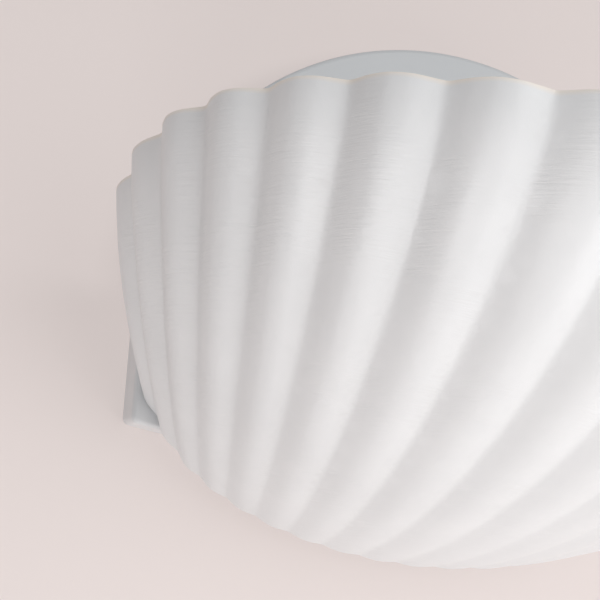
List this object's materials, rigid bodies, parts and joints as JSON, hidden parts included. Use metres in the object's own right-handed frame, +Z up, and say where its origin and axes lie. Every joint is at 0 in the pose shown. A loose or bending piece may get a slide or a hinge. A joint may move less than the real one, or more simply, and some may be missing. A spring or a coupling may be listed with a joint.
{
  "type": "wall light",
  "caption": "Wall uplighter with a fluted scallop-shell bowl shade hung on an arched box back plate, with bracket, lampholder and lamp.",
  "frame": {"origin": "on the wall, midway between the two wall screws of the bracket", "axes": "+Z up, +Y into the wall, -Y out into the room, +X to the right as seen from the room"},
  "size_m": [0.3024, 0.2779, 0.2256],
  "materials": {
    "shade_ceramic": "unglazed matt white, faint rubbing marks",
    "plate_paint": "satin white paint",
    "zinc": "zinc plated",
    "bush_rubber": "soft black",
    "pad_rubber": "clear soft bumper",
    "nickel": "nickel plated",
    "holder_plastic": "white thermoset",
    "insert_porcelain": "white glaze",
    "brass": "plain",
    "cap_metal": "nickelled",
    "tip_insulator": "black",
    "collar_plastic": "white",
    "globe_milk": "milky",
    "board_metal": "white solder mask",
    "block_plastic": "natural nylon",
    "lead_brown": "brown insulation",
    "lead_blue": "blue insulation",
    "lead_green_yellow": "green and yellow insulation",
    "tinned": "tinned"
  },
  "bodies": {
    "bracket": {"wall_bracket": "zinc", "cable_bush": "bush_rubber", "wall_screws": "zinc"},
    "plate": {"back_plate": "plate_paint", "hanging_screws": "zinc", "hanging_nuts": "zinc", "threaded_nipple": "zinc", "nipple_washers": "zinc", "nipple_nuts": "zinc", "holder_cap": "holder_plastic", "holder_insert": "insert_porcelain", "holder_skirt": "holder_plastic", "socket_shell": "brass", "centre_contact": "brass", "terminal_block": "block_plastic", "terminal_barrels": "brass", "clamp_screws": "zinc", "block_screw": "zinc", "lead_live": "lead_brown", "lead_neutral": "lead_blue", "earth_ring": "tinned", "earth_washer": "zinc", "earth_screw": "zinc", "lead_earth": "lead_green_yellow"},
    "shade": {"shell_shade": "shade_ceramic", "shade_pads": "pad_rubber"},
    "bulb": {"bulb_cap": "cap_metal", "bulb_tip": "tip_insulator", "bulb_collar": "collar_plastic", "bulb_globe": "globe_milk", "led_board": "board_metal"},
    "thumb_left": {"thumb_screw_left": "nickel"},
    "thumb_right": {"thumb_screw_right": "nickel"}
  },
  "joints": [
    {"name": "plate_off", "type": "slide", "parent": "bracket", "child": "plate", "axis": [0, -1, 0], "range_m": [0, 0.04]},
    {"name": "shade_lift", "type": "slide", "parent": "plate", "child": "shade", "axis": [0, 0, 1], "range_m": [0, 0.009]},
    {"name": "bulb_out", "type": "slide", "parent": "plate", "child": "bulb", "axis": [0, -1, 0], "range_m": [0, 0.02]},
    {"name": "thumb_left_turn", "type": "hinge", "parent": "bracket", "child": "thumb_left", "pos_m": [-0.055, -0.012, -0.0658], "axis": [0, 0, 1], "range_deg": [-720, 0]},
    {"name": "thumb_right_turn", "type": "hinge", "parent": "bracket", "child": "thumb_right", "pos_m": [0.055, -0.012, -0.0658], "axis": [0, 0, 1], "range_deg": [-720, 0]}
  ]
}
